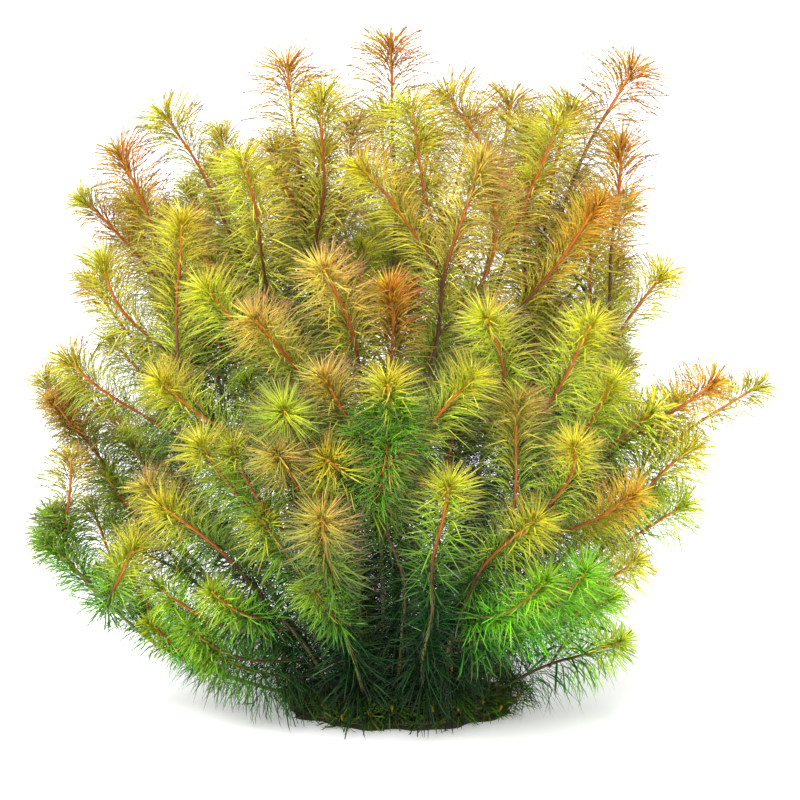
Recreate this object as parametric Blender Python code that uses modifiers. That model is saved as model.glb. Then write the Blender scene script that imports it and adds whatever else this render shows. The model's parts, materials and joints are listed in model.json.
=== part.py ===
"""Whorly rotala: a bush of water-garden stems, cut off flat where it grew out of the ground.

Twenty-nine rooted stems fan out of one low root crown. Some turn up to the light and others
arch over, and each wears a sleeve of whorled needle leaves with a tuft over its tip. A sleeve
is a plain closed solid that reaches the leaf tips and has the stem's own tunnel up its
middle, so stems, sleeves and crown lie close together and never touch.

Frame: metres, +Z up, the origin in the middle of the flat cut, and -Y is the front.
"""

import math

import bmesh
import bpy
from mathutils import Vector

MM = 0.001

# Root crown: the mat of creeping stem bases, an ellipse in plan with a flat underside.
CROWN_HALF_WIDTH = 38 * MM
CROWN_HALF_DEPTH = 34 * MM
CROWN_HEIGHT = 6 * MM
CROWN_PROFILE_STEPS = 6
CROWN_TURNS = 28

# Stems: radius at the ground and at the tip, and the points along each.
STEM_RADIUS = 0.80 * MM
TIP_RADIUS = 0.55 * MM
STEM_STEPS = 7
FREE_STEM = 13 * MM

# Where a stem leaves the crown: the more its tip leans out, the nearer its root is to the edge.
ROOT_HALF_WIDTH = 36 * MM
ROOT_HALF_DEPTH = 32 * MM
ROOT_POWER = 0.6

# Leaf sleeves: the widest reach, the room past the stem's tip, and the gaps kept.
LEAF_REACH = 20 * MM
TUFT_LENGTH = 9 * MM
TUFT_STEPS = 2
SLEEVE_GAP = 0.4 * MM
TUNNEL_GAP = 0.6 * MM
TUNNEL_END = 1.2 * MM
GROUND_GAP = 0.5 * MM

# Each rooted stem, in millimetres: its tip (x, y, z), how far the control point of its curve
# lies beside the straight line to the tip, and how far below it, then how far its root is moved
# to the right. Stems with a positive fifth number turn up to the light, and the others arch over.
STEMS = [
    (-35, -11, 208, 2, 10, 0), (-3, 14, 212, -3, 4, 0), (-69, -18, 192, 3, 16, 0),
    (72, 2, 205, -2, -14, 0), (36, 29, 193, 3, 4, 0), (-98, -15, 166, 3, 16, 0),
    (-10, -50, 180, 18, 4, -3), (24, -64, 177, -6, 8, 0), (80, -22, 140, 4, -14, 0),
    (110, -4, 103, -2, -22, 0), (-113, 0, 106, -4, -10, 0), (-109, -22, 64, 4, 10, 0),
    (-41, -82, 134, 3, -20, 0), (25, -98, 137, 18, 2, 3), (-61, -91, 80, -4, -10, -2),
    (-19, -105, 98, 10, -8, 2), (14, -111, 91, -4, 2, 4), (-24, -94, 70, 0, -4, -4),
    (41, -99, 82, -4, -10, 7), (86, -61, 77, 4, -8, 0), (69, -56, 34, 2, -2, 2),
    (-88, 38, 150, 4, 6, 0), (-50, 68, 164, -5, -6, 0), (10, 84, 176, 5, -4, 0),
    (60, 66, 166, -4, 4, 0), (98, 46, 92, 4, -8, 0), (-98, 50, 88, -4, -6, 0),
    (-38, 100, 104, 5, -10, 0), (40, 102, 108, -5, -8, 0),
]

# Linear colours and roughness of the three materials.
CROWN_COLOUR = (0.085, 0.060, 0.028)
STEM_COLOUR = (0.300, 0.070, 0.018)
LEAF_COLOUR = (0.290, 0.330, 0.030)
CROWN_ROUGHNESS = 0.85
STEM_ROUGHNESS = 0.50
LEAF_ROUGHNESS = 0.55


def clear_scene():
    for item in list(bpy.data.objects):
        bpy.data.objects.remove(item, do_unlink=True)


def new_collection(name):
    collection = bpy.data.collections.new(name)
    bpy.context.scene.collection.children.link(collection)
    return collection


def principled(name, colour, roughness):
    material = bpy.data.materials.new(name)
    material.use_nodes = True
    shader = material.node_tree.nodes["Principled BSDF"]
    shader.inputs["Base Color"].default_value = (*colour, 1.0)
    shader.inputs["Roughness"].default_value = roughness
    shader.inputs["Metallic"].default_value = 0.0
    material.diffuse_color = (*colour, 1.0)
    return material


def crown_height_at(x, y):
    """Height of the crown's upper face over a point of the ground."""
    share = min(1.0, math.hypot(x / CROWN_HALF_WIDTH, y / CROWN_HALF_DEPTH))
    return CROWN_HEIGHT * math.sqrt(1.0 - share ** 4)


def stem_curve(tip, beside, below, aside):
    """Root, control point and tip of the curve that one stem follows.

    The root lies under the tip's own side of the crown, nearer its edge the more the tip leans
    out. The control point starts halfway to the tip, then moves sideways and square to the line,
    downwards and outwards.
    """
    reach = math.hypot(tip.x, tip.y)
    lean = math.atan2(reach, tip.z) / (math.pi / 2)
    share = lean ** ROOT_POWER / reach
    root = Vector((tip.x * share * ROOT_HALF_WIDTH + aside, tip.y * share * ROOT_HALF_DEPTH, 0.0))
    root.z = crown_height_at(root.x, root.y) + STEM_RADIUS + GROUND_GAP
    outwards = tip - root
    sideways = Vector((-outwards.y, outwards.x, 0.0)).normalized()
    down = sideways.cross(outwards).normalized()
    return root, root + outwards / 2 + sideways * beside + down * below, tip


def curve_point(curve, share):
    root, elbow, tip = curve
    rest = 1.0 - share
    return root * rest * rest + elbow * 2.0 * rest * share + tip * share * share


def stem_points(curve):
    """Points along a stem: its root, the foot of its sleeve, then even steps to the tip."""
    root, elbow, tip = curve
    first = FREE_STEM / ((elbow - root).length + (tip - elbow).length)
    shares = [0.0] + [first + (1.0 - first) * step / (STEM_STEPS - 1) for step in range(STEM_STEPS)]
    return [curve_point(curve, share) for share in shares]


def past_tip(points, distance):
    """A point straight on from the tip, in the direction that the stem ends in."""
    direction = (points[-1] - points[-2]).normalized()
    return points[-1] + direction * distance


def sleeve_points(points):
    """The stem's own points from the foot of the sleeve up, then the tuft past its tip."""
    tuft = [past_tip(points, TUFT_LENGTH * step / TUFT_STEPS) for step in range(1, TUFT_STEPS + 1)]
    return points[1:] + tuft


def fine_points(points, steps=8):
    """The same line with extra points on every stretch, for measuring distances."""
    fine = [points[0]]
    for start, end in zip(points, points[1:]):
        fine += [start.lerp(end, step / steps) for step in range(1, steps + 1)]
    return fine


def room_around(place, other_lines):
    """Half the way to the nearest other stem, less the gap, and clear of the crown and ground."""
    nearest = min((place - other).length for line in other_lines for other in line)
    above_crown = place.z - crown_height_at(place.x, place.y) - GROUND_GAP
    return min((nearest - SLEEVE_GAP) / 2.0, above_crown, LEAF_REACH)


def sleeve_radii(line, other_lines, steps=8):
    """Radius at each point of a sleeve: the least room beside it, rounded off at the tuft."""
    fine = fine_points(line, steps)
    room = [room_around(place, other_lines) for place in fine]
    radii = []
    for index in range(len(line)):
        beside = room[max(0, (index - 1) * steps):(index + 1) * steps + 1]
        radii.append(min(beside))
    tip_index = len(line) - 1 - TUFT_STEPS
    for step in range(TUFT_STEPS + 1):
        rounding = math.sqrt(1.0 - (step / (TUFT_STEPS + 0.35)) ** 2)
        radii[tip_index + step] = min(radii[tip_index + step], radii[tip_index] * rounding)
    return radii


def tube(name, collection, points, radii, sides_step):
    """A filled tube through the points, as a curve object with a bevel."""
    data = bpy.data.curves.new(name, "CURVE")
    data.dimensions = "3D"
    data.bevel_depth = 1.0
    data.bevel_resolution = sides_step
    data.use_fill_caps = True
    data.twist_mode = "MINIMUM"
    spline = data.splines.new("POLY")
    spline.points.add(len(points) - 1)
    for point, place, radius in zip(spline.points, points, radii):
        point.co = (*place, 1.0)
        point.radius = radius
    item = bpy.data.objects.new(name, data)
    collection.objects.link(item)
    return item


def as_mesh(item):
    """The curve object made a closed mesh object under the same name."""
    bpy.context.view_layer.update()
    evaluated = item.evaluated_get(bpy.context.evaluated_depsgraph_get())
    mesh = bpy.data.meshes.new_from_object(evaluated)
    work = bmesh.new()
    work.from_mesh(mesh)
    bmesh.ops.remove_doubles(work, verts=work.verts, dist=0.00001)
    bmesh.ops.recalc_face_normals(work, faces=work.faces)
    work.to_mesh(mesh)
    work.free()
    name = item.name
    collection = item.users_collection[0]
    place = item.matrix_world.copy()
    bpy.data.objects.remove(item, do_unlink=True)
    solid = bpy.data.objects.new(name, mesh)
    solid.matrix_world = place
    collection.objects.link(solid)
    mesh.shade_smooth()
    return solid


def give_material(item, material):
    item.data.materials.clear()
    item.data.materials.append(material)


def hide_cutter(item):
    item.hide_render = True
    item.display_type = "WIRE"


def make_crown(collection, material):
    """The low matted crown: a dome profile turned about Z, narrowed front to back."""
    profile = [(0.0, CROWN_HEIGHT)]
    for step in range(1, CROWN_PROFILE_STEPS + 1):
        share = math.sin(math.pi / 2 * step / CROWN_PROFILE_STEPS)
        profile.append((CROWN_HALF_WIDTH * share, CROWN_HEIGHT * math.sqrt(max(0.0, 1.0 - share ** 4))))
    profile.append((0.0, 0.0))
    mesh = bpy.data.meshes.new("root_crown")
    places = [(x, 0.0, z) for x, z in profile]
    mesh.from_pydata(places, [(step, step + 1) for step in range(len(places) - 1)], [])
    crown = bpy.data.objects.new("root_crown", mesh)
    collection.objects.link(crown)
    screw = crown.modifiers.new("turn", "SCREW")
    screw.axis = "Z"
    screw.steps = CROWN_TURNS
    screw.render_steps = CROWN_TURNS
    screw.use_merge_vertices = True
    screw.merge_threshold = 0.00001
    crown.scale = (1.0, CROWN_HALF_DEPTH / CROWN_HALF_WIDTH, 1.0)
    give_material(crown, material)
    return crown


def make_stem(number, collection, points, material):
    """One tapering stem from the crown to its tip."""
    last = len(points) - 1
    radii = [STEM_RADIUS + (TIP_RADIUS - STEM_RADIUS) * step / last for step in range(last + 1)]
    stem = as_mesh(tube(f"stem_{number:02d}", collection, points, radii, 1))
    give_material(stem, material)
    return stem


def make_leaves(number, parts, cutters, points, radii, material):
    """One sleeve of leaves, with the tunnel that its stem runs up."""
    sleeve = as_mesh(tube(f"leaves_{number:02d}", parts, sleeve_points(points), radii, 2))
    bore = STEM_RADIUS + TUNNEL_GAP
    end = TIP_RADIUS + TUNNEL_GAP
    route = points + [past_tip(points, TUNNEL_END)]
    last = len(route) - 1
    tunnel_radii = [bore + (end - bore) * step / last for step in range(last + 1)]
    tunnel = as_mesh(tube(f"tunnel_{number:02d}", cutters, route, tunnel_radii, 1))
    hide_cutter(tunnel)
    cut = sleeve.modifiers.new("tunnel", "BOOLEAN")
    cut.operation = "DIFFERENCE"
    cut.solver = "EXACT"
    cut.object = tunnel
    give_material(sleeve, material)
    return sleeve


def main():
    clear_scene()
    parts = new_collection("Whorly rotala")
    cutters = new_collection("Cutters")
    make_crown(parts, principled("root crown", CROWN_COLOUR, CROWN_ROUGHNESS))
    curves = [stem_curve(Vector(row[:3]) * MM, *[size * MM for size in row[3:]]) for row in STEMS]
    stems = [stem_points(curve) for curve in curves]
    lines = [fine_points(points + [past_tip(points, TUFT_LENGTH)]) for points in stems]
    for index, points in enumerate(stems):
        number = index + 1
        others = lines[:index] + lines[index + 1:]
        radii = sleeve_radii(sleeve_points(points), others)
        make_stem(number, parts, points, principled(f"stem {number:02d}", STEM_COLOUR, STEM_ROUGHNESS))
        leaf = principled(f"leaves {number:02d}", LEAF_COLOUR, LEAF_ROUGHNESS)
        make_leaves(number, parts, cutters, points, radii, leaf)


main()
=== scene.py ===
"""Whorly rotala: the visual model of a bush of fine-leaved water-garden stems.

Twenty-nine rooted plants fan out of one matted root crown. Every plant has a main stem and side
shoots that fork off it, and every shoot wears whorls of needle leaves, crowded in a tuft at the
tip and longer, wider apart and greener further down. Lengths in the tables and the functions are
millimetres, ages are millimetres of shoot between a leaf and the tip, and the meshes are metres.

Frame: +Z up, the origin in the middle of the flat cut at ground level, and -Y is the front.
"""

import json
import math

import bmesh
import bpy
import numpy as np
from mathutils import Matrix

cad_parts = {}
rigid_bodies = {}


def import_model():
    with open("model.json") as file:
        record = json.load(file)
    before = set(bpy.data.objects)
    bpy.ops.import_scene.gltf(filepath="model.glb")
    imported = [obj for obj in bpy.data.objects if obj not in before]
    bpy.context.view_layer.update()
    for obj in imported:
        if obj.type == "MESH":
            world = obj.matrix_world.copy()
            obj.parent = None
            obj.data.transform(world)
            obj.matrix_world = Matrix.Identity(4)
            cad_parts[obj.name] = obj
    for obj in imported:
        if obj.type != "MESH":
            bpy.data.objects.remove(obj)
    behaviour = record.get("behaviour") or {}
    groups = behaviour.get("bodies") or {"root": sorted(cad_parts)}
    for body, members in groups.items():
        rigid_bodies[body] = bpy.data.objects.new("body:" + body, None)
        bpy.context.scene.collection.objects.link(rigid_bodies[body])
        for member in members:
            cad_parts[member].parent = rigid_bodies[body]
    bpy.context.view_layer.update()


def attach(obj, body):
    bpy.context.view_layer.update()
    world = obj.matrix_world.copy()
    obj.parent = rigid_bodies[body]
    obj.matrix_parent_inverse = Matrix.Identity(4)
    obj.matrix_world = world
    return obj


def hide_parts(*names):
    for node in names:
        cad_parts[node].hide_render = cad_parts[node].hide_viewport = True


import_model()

bl_info = {
    "name": "Whorly rotala",
    "version": (1, 0, 0),
    "blender": (4, 5, 0),
    "location": "3D View > Sidebar > Rotala",
    "description": "Builds a bush of whorly rotala: root crown, stems, side shoots and needle leaves",
    "category": "Object",
}

MM = 0.001

# Root crown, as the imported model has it, the ellipse that the stems root in, how the lean of a
# stem moves its root out, how high over the crown it starts, and the crown's short shoots.
CROWN_HALF_WIDTH = 38
CROWN_HALF_DEPTH = 34
CROWN_HEIGHT = 6
ROOT_HALF_WIDTH = 36
ROOT_HALF_DEPTH = 32
ROOT_POWER = 0.6
ROOT_LIFT = 1.2
CROWN_SHOOTS = 48

# Where the control point of a main stem lies along the straight line to its tip.
ELBOW_SHARE = 0.65

# Every rooted plant: the tip (x, y, z) of its main stem, how far its curve's control point lies
# beside and below the straight line, how far its root is moved to the right, and its tuft's tint.
PLANTS = [
    ((-35, -11, 206), 2, 5, 4, "orange"), ((-3, 14, 211), -3, 4, 0, "orange"),
    ((-72, -18, 191), 3, -18, 5, "lime"), ((73, 2, 204), -2, -22, 0, "orange"),
    ((36, 29, 193), 3, 4, 0, "pink"), ((-98, -15, 165), 3, -22, 3, "ember"),
    ((-22, -82, 151), 18, -6, -3, "pink"), ((24, -60, 180), -20, 4, 0, "pink"),
    ((81, -22, 142), 4, -12, 0, "gold"), ((114, -4, 105), -2, -16, 0, "gold"),
    ((-113, 0, 106), -4, 11, 0, "gold"), ((-109, -22, 65), 4, 25, -7, "green"),
    ((-42, -80, 136), 24, -10, -4, "pink"), ((25, -92, 138), 26, 2, 3, "lime"),
    ((-71, -62, 77), 20, -2, -2, "lime"), ((-21, -98, 98), 26, -4, 2, "gold"),
    ((14, -98, 90), -6, 16, 4, "lime"), ((-22, -82, 75), 2, 14, -4, "pink"),
    ((39, -84, 77), -22, 0, 5, "gold"), ((88, -28, 71), 2, -6, 0, "fern"),
    ((69, -30, 28), 2, -2, 0, "fern"), ((-88, 38, 150), 4, 6, 0, "lime"),
    ((-50, 68, 164), -5, -6, 0, "orange"), ((10, 84, 176), 5, -4, 0, "gold"),
    ((60, 66, 166), -4, 4, 0, "lime"), ((80, 50, 86), 4, -8, 0, "gold"),
    ((-98, 50, 88), -4, -6, 0, "orange"), ((-38, 100, 104), 5, -10, 0, "lime"),
    ((40, 102, 108), -5, -8, 0, "orange"),
]

# Side shoots of the front. A tip is where the camera sees it: pixels across and down of the 800
# pixel view, and its depth in millimetres behind the middle. Then come the turn of the shoot's
# end from straight up, clockwise, its lean towards the camera, the shoot's length and its tint.
# Some of the later ones fill gaps behind the tips that show.
FRONT_SHOOTS = [
    (322, 102, -30, 0, 12, 60, "lime"), (275, 148, 12, -12, 0, 50, "gold"),
    (243, 162, -42, -14, 15, 60, "lime"), (352, 130, -8, 4, 5, 50, "pink"),
    (411, 110, -40, -14, 12, 60, "lime"), (121, 157, -30, -24, 10, 60, "orange"),
    (182, 224, -50, 5, 15, 60, "gold"), (570, 112, -6, 15, 5, 60, "gold"),
    (621, 150, -30, 3, 10, 70, "orange"), (449, 99, -22, -36, 10, 60, "lime"),
    (525, 130, 5, 4, 0, 50, "gold"), (556, 127, -32, 20, 10, 60, "lime"),
    (104, 266, -38, -12, 12, 55, "lime"), (364, 170, -56, -46, 15, 45, "lime"),
    (493, 190, -52, -12, 12, 50, "pink"), (390, 292, -66, -6, 12, 50, "orange"),
    (598, 206, -40, 36, 12, 60, "orange"), (591, 326, -76, 28, 25, 55, "lime"),
    (712, 384, -30, 54, 8, 80, "orange"), (689, 450, -30, 50, 10, 55, "gold"),
    (70, 362, -26, -48, 10, 70, "gold"), (54, 402, -16, -42, 8, 25, "orange"),
    (71, 458, -30, 4, 8, 30, "pink"), (135, 546, -50, 30, 10, 25, "gold"),
    (98, 572, -10, -38, 5, 25, "fern"), (160, 588, -46, -44, 10, 28, "fern"),
    (150, 622, -24, -48, 6, 20, "fern"), (190, 628, -40, -46, 10, 30, "fern"),
    (208, 291, -66, -38, 20, 60, "lime"), (163, 383, -72, -48, 15, 60, "gold"),
    (203, 448, -88, -30, 30, 50, "lime"), (285, 412, -100, -10, 62, 40, "fern"),
    (325, 380, -96, -35, 20, 40, "pink"), (388, 384, -98, -6, 20, 50, "spring"),
    (470, 380, -96, 40, 20, 50, "lime"), (517, 402, -84, 0, 12, 50, "pink"),
    (150, 490, -46, -50, 8, 35, "pink"), (234, 452, -88, -20, 20, 50, "gold"),
    (212, 592, -62, -44, 12, 30, "fern"),
    (278, 455, -100, -30, 50, 35, "pink"), (388, 452, -96, 5, 42, 35, "pink"),
    (325, 495, -96, -15, 55, 30, "fern"), (310, 586, -80, -30, 35, 30, "fern"),
    (574, 448, -86, -12, 45, 40, "gold"), (632, 497, -62, 58, 15, 50, "orange"),
    (545, 582, -84, 38, 30, 40, "green"), (585, 574, -80, 42, 35, 45, "vivid"),
    (634, 563, -56, 58, 15, 45, "gold"), (602, 526, -30, 50, 5, 45, "lime"),
    (606, 600, -70, 60, 20, 40, "green"), (122, 500, 4, -38, 0, 45, "fern"),
    (182, 570, 6, -45, 0, 35, "fern"), (228, 606, 14, -42, 0, 35, "fern"),
    (412, 424, -92, 12, 20, 30, "spring"), (262, 520, -84, -30, 25, 45, "lime"),
    (140, 602, -8, -48, 5, 35, "fern"), (118, 562, -20, -45, 5, 30, "fern"),
    (176, 642, -12, -50, 5, 30, "fern"), (208, 650, -34, -50, 5, 30, "fern"),
    (170, 606, -30, -46, 8, 30, "vivid"), (92, 508, -6, -24, 0, 35, "fern"),
    (112, 524, 6, -34, 0, 35, "fern"),
    (340, 208, 30, -5, 0, 45, "lime"), (405, 192, 34, 6, 0, 45, "lime"),
    (375, 240, 20, 0, 0, 45, "fern"), (300, 215, 24, -8, 0, 45, "lime"),
    (190, 192, 10, -20, 0, 45, "lime"), (216, 168, 14, -15, 0, 45, "gold"),
    (168, 216, 0, -22, 0, 45, "lime"), (606, 352, -14, 26, 5, 45, "lime"),
    (104, 470, 0, -30, 0, 40, "lime"), (128, 440, 8, -35, 0, 40, "lime"),
    (432, 350, -20, 5, 0, 45, "fern"), (458, 418, -30, 10, 5, 45, "fern"),
    (52, 516, -24, -30, 6, 30, "green"), (46, 542, -26, -55, 6, 25, "green"),
    (60, 400, -10, -35, 5, 30, "gold"),
    (372, 418, -96, -10, 10, 30, "vivid"), (402, 412, -98, 10, 15, 30, "vivid"),
    (388, 434, -99, 0, 10, 28, "vivid"), (360, 432, -97, -20, 10, 28, "vivid"),
    (322, 520, -102, -6, 40, 45, "pink"),
    (430, 336, 10, 8, 0, 45, "fern"), (248, 386, -20, -20, 5, 45, "fern"),
    (362, 250, -10, 0, 0, 45, "fern"), (462, 300, 0, 8, 0, 45, "fern"),
    (300, 330, -10, -8, 0, 45, "fern"), (500, 330, 0, 12, 0, 45, "lime"),
    (128, 205, -6, -22, 0, 45, "lime"), (446, 300, 20, 4, 0, 45, "lime"),
    (258, 556, -30, -25, 0, 45, "fern"), (382, 528, -20, 5, 0, 50, "fern"),
    (236, 612, 0, -45, 0, 40, "fern"),
]

# Side shoots that the photograph doesn't show, by the number of their plant: tips (x, y, z) and
# tints. Those of plants 5, 9 and 13 fill the inside, and the others make the back.
BACK_SHOOTS = {
    5: [(44, 8, 120, "fern"), (58, 20, 98, "fern"), (20, 22, 110, "lime")],
    9: [(64, -48, 112, "lime"), (60, -8, 118, "lime")],
    13: [(-40, -52, 104, "lime")],
    22: [(-84, 14, 162, "lime"), (-78, 52, 136, "lime"), (-100, 20, 135, "orange"), (-70, 62, 118, "fern"),
         (-96, 48, 112, "gold"), (-60, 40, 160, "lime")],
    23: [(-58, 26, 182, "lime"), (-36, 60, 176, "orange"), (-62, 80, 140, "lime"), (-40, 88, 140, "pink"),
         (-70, 60, 150, "gold"), (-28, 76, 158, "lime")],
    24: [(-6, 72, 186, "lime"), (24, 76, 184, "orange"), (0, 98, 150, "gold"),
         (20, 98, 146, "lime"), (-14, 92, 160, "pink")],
    25: [(46, 60, 176, "orange"), (76, 56, 158, "lime"), (56, 84, 144, "gold"), (38, 62, 110, "lime"),
         (38, 84, 154, "orange"), (74, 66, 136, "pink")],
    26: [(72, 68, 114, "lime"), (74, 66, 80, "fern"), (50, 24, 84, "fern"), (74, 28, 108, "lime"),
         (70, 58, 70, "fern"), (72, 44, 128, "gold"), (64, 56, 56, "fern")],
    27: [(-106, 28, 100, "orange"), (-86, 66, 104, "gold"), (-84, 64, 72, "fern"),
         (-96, 40, 66, "green"), (-74, 58, 54, "fern")],
    28: [(-54, 92, 112, "gold"), (-22, 104, 116, "orange"), (-50, 90, 78, "fern"),
         (-20, 100, 76, "green"), (-60, 84, 58, "fern"), (-34, 92, 50, "fern")],
    29: [(56, 92, 116, "orange"), (24, 106, 114, "gold"), (52, 92, 78, "fern"),
         (22, 102, 78, "fern"), (62, 80, 58, "green"), (30, 92, 50, "fern"),
         (2, 104, 60, "fern"), (0, 108, 92, "lime")],
}

# Inner shoots fill the bush behind the ones that are seen: how many each plant may have, where on
# its stem they start, their angle to it, their length, the steps by which one is cut back and the
# least that is left. Tips keep this far inside the bush's outline and behind this depth.
INNER_SHOOTS = 4
INNER_STARTS = (0.30, 0.72)
INNER_ANGLE = 32
INNER_LENGTHS = (34, 62)
INNER_CUT = 4
INNER_LEAST = 15
INNER_LIMIT = 0.72
INNER_FRONT = -40

# The bush's outline as an ellipsoid: its middle height and its half sizes.
BUSH_MIDDLE = 95
BUSH_HALF = (122, 114, 126)

# A side shoot forks off the stem point that lies nearest the line of its end. A point costs more
# the further the length is from the one wanted, and the wider the shoot's angle to the stem. One
# that lies less than a least way back from the tip costs too much to be taken.
BACK_LENGTH = 48
FORK_SHARES = (0.06, 0.90)
FORK_POINTS = 85
LENGTH_COST = 0.45
ANGLE_COST = 14
LEAST_WAY = 8
TOO_NEAR_COST = 100
END_SHARE = 0.5

# Points that a shoot's line is measured on, how far it wanders from its plain curve, the length
# of a radian of each of its two waves, and the length of a shoot that wanders in full.
LINE_POINTS = 160
WANDER = 0.9
WANDER_WAVES = (9, 13)
WANDER_FULL = 60

# A direction that no shoot runs along. The directions square to a shoot are worked out from it.
OFF_DIRECTION = (0.31, 0.88, 0.36)

# What differs by the kind of shoot: the bare length at its foot, the step from one whorl that has
# leaves to the next, the share of a main stem's thickness and the age that leaf colours add, which
# on inner shoots deep in the bush is partly painted shade.
BARE_LENGTH = {"main": 4.0, "side": 1.5, "inner": 1.5, "crown": 0.5}
WHORL_STEP = {"main": 1, "side": 1, "inner": 3, "crown": 2}
THICKNESS = {"main": 1.0, "side": 0.78, "inner": 0.7, "crown": 0.7}
ADDED_AGE_AND_SHADE = {"main": 0.0, "side": 0.0, "inner": 20.0, "crown": 75.0}

# How leaves change with age: the gap to the next whorl, length, width, start angle, how far they
# bend away from the stem and the share of leaves still there.
AGES = (0, 2, 5, 10, 20, 45, 90, 150)
WHORL_GAP = (0.25, 0.32, 0.44, 0.66, 1.05, 1.60, 2.15, 2.70)
LENGTH_SHARE = (0.66, 0.84, 0.97, 1.03, 1.03, 0.97, 0.90, 0.88)
WIDTH_SHARE = (0.86, 0.90, 0.94, 0.98, 1.00, 1.05, 1.12, 1.20)
LEAF_ANGLE = (22, 33, 42, 48, 54, 62, 73, 83)
LEAF_BEND = (0.50, 0.72, 0.75, 0.66, 0.44, 0.16, -0.04, -0.10)
LEAF_KEPT = (1.0, 1.0, 1.0, 1.0, 1.0, 0.95, 0.85, 0.75)

# Leaves that face the front this squarely and are older than this hide the stem behind them, so
# this share of them is left out.
FRONT_FACING = 0.80
FRONT_AGE = 8
FRONT_LOST = 0.55

# Ages of the five colours of the leaf ramp and of the four colours of the stem ramp.
LEAF_COLOUR_AGES = (0, 12, 34, 72, 125)
STEM_COLOUR_AGES = (0, 9, 38, 130)

# Tints of tufts: how much of its flush a leaf takes at its root and further out, the age where
# the flush begins, how far down the shoot it goes and the setting that holds its colour.
TINTS = {
    "lime": (0.00, 0.20, 0.0, 26.0, "bronze_flush_and_shade"),
    "gold": (0.20, 0.50, 0.0, 20.0, "orange_flush"),
    "orange": (0.82, 0.92, 0.0, 36.0, "orange_flush"),
    "ember": (0.90, 0.85, 9.0, 40.0, "orange_flush"),
    "pink": (0.50, 0.85, 0.0, 30.0, "pink_flush"),
    "green": (0.90, 0.90, 0.0, 60.0, "fresh_green"),
    "fern": (0.35, 0.45, 0.0, 40.0, "fresh_green"),
    "spring": (0.85, 0.80, 12.0, 34.0, "vivid_green"),
    "vivid": (0.80, 0.85, 0.0, 60.0, "vivid_green"),
}
PURE_GREENS = ("green", "spring", "vivid")
GREENS = PURE_GREENS + ("fern",)

# How red, green and blue change with the place: less low in the bush; less again in the middle
# and at the left, which is painted shade; and more low at the right and in a band under the top,
# which is painted light.
LOW_LOSS = (0.56, 0.0, 0.40)
PAINTED_SHADE_LOSS = (0.40, 0.31, 0.31)
PAINTED_LIGHT_GAIN = (0.14, 0.19, 0.45)

# The side of a shoot that faces this way, up and to the right, takes more of its flush colour,
# and its high leaves turn bronze there: partly the leaves' own flush and partly painted shade.
FLUSH_AND_SHADE_SIDE = (0.66, -0.05, 0.75)

# Shares of its length where a leaf has a ring of three points, and its breadth there. One ring
# only is on leaves deep inside the bush, on those that hardly bend, and on those further back
# than this depth and lower than this height.
RING_SHARES = (0.40, 0.86)
RING_BREADTHS = (1.0, 0.96)
SINGLE_RING_SHARES = (0.42,)
SINGLE_RING_BREADTHS = (1.0,)
INSIDE_RING = 0.55
STRAIGHT_RING = 0.45
BACK_RING = -20
HIGH_RING = 182

# Least height of a leaf's middle line at its root, how much more it is at the tip, the least
# height of its skin, and half the breadth of a leaf on the map.
LEAF_LIFT = 0.45
LEAF_TIP_LIFT = 0.25
LEAF_GROUND_GAP = 0.2
MAP_HALF_BREADTH = 0.0012

# Stems: sides of the tube, the way from ring to ring and the length of the swelling's wave.
STEM_SIDES = 6
STEM_STEP = 2.6
STEM_WAVE = 5.2

# Root mat: its share of the crown's width, how much lower it is, its rings and their points, and
# the runners and fine roots on it, which keep inside a share of the crown's width, and the
# points along each.
MAT_SHARE = 0.97
MAT_SINK = 0.8
MAT_RINGS = 28
MAT_SIDES = 96
RUNNERS = 50
FINE_ROOTS = 100
RUNNER_LIMIT = 0.96
RUNNER_POINTS = 26

# Camera: how far away, the height it looks at, how steeply it looks down, the width of the view
# at the object and in pixels, and the sensor's width.
CAMERA_DISTANCE = 950
CAMERA_HEIGHT = 100
CAMERA_ELEVATION = 9
VIEW_WIDTH = 256
VIEW_PIXELS = 800
SENSOR_WIDTH = 36

# Key light: its softness and turn in degrees. Floor: its radius and the corners of its rim.
KEY_SOFTNESS = 50
KEY_TURN = (38, 0, -22)
FLOOR_RADIUS = 30000
FLOOR_CORNERS = 96

# Every random number starts from the seed, plus a number of the plant, the kind and the shoot.
SEED = 4107
PLANT_SEED = 100
INNER_SEED = 700
RUNNER_SEED = 5000
CROWN_SEED = 9000


def colour_setting(name, description, default):
    """A colour that a user can change."""
    return bpy.props.FloatVectorProperty(
        name=name, description=description, default=default, min=0, max=1, subtype="COLOR")


def length_setting(name, description, default, least):
    """A length that a user can change."""
    return bpy.props.FloatProperty(
        name=name, description=description, default=default, min=least, unit="LENGTH", subtype="DISTANCE")


def strength_setting(name, description, default):
    """A strength of light that a user can change."""
    return bpy.props.FloatProperty(name=name, description=description, default=default, min=0)


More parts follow.
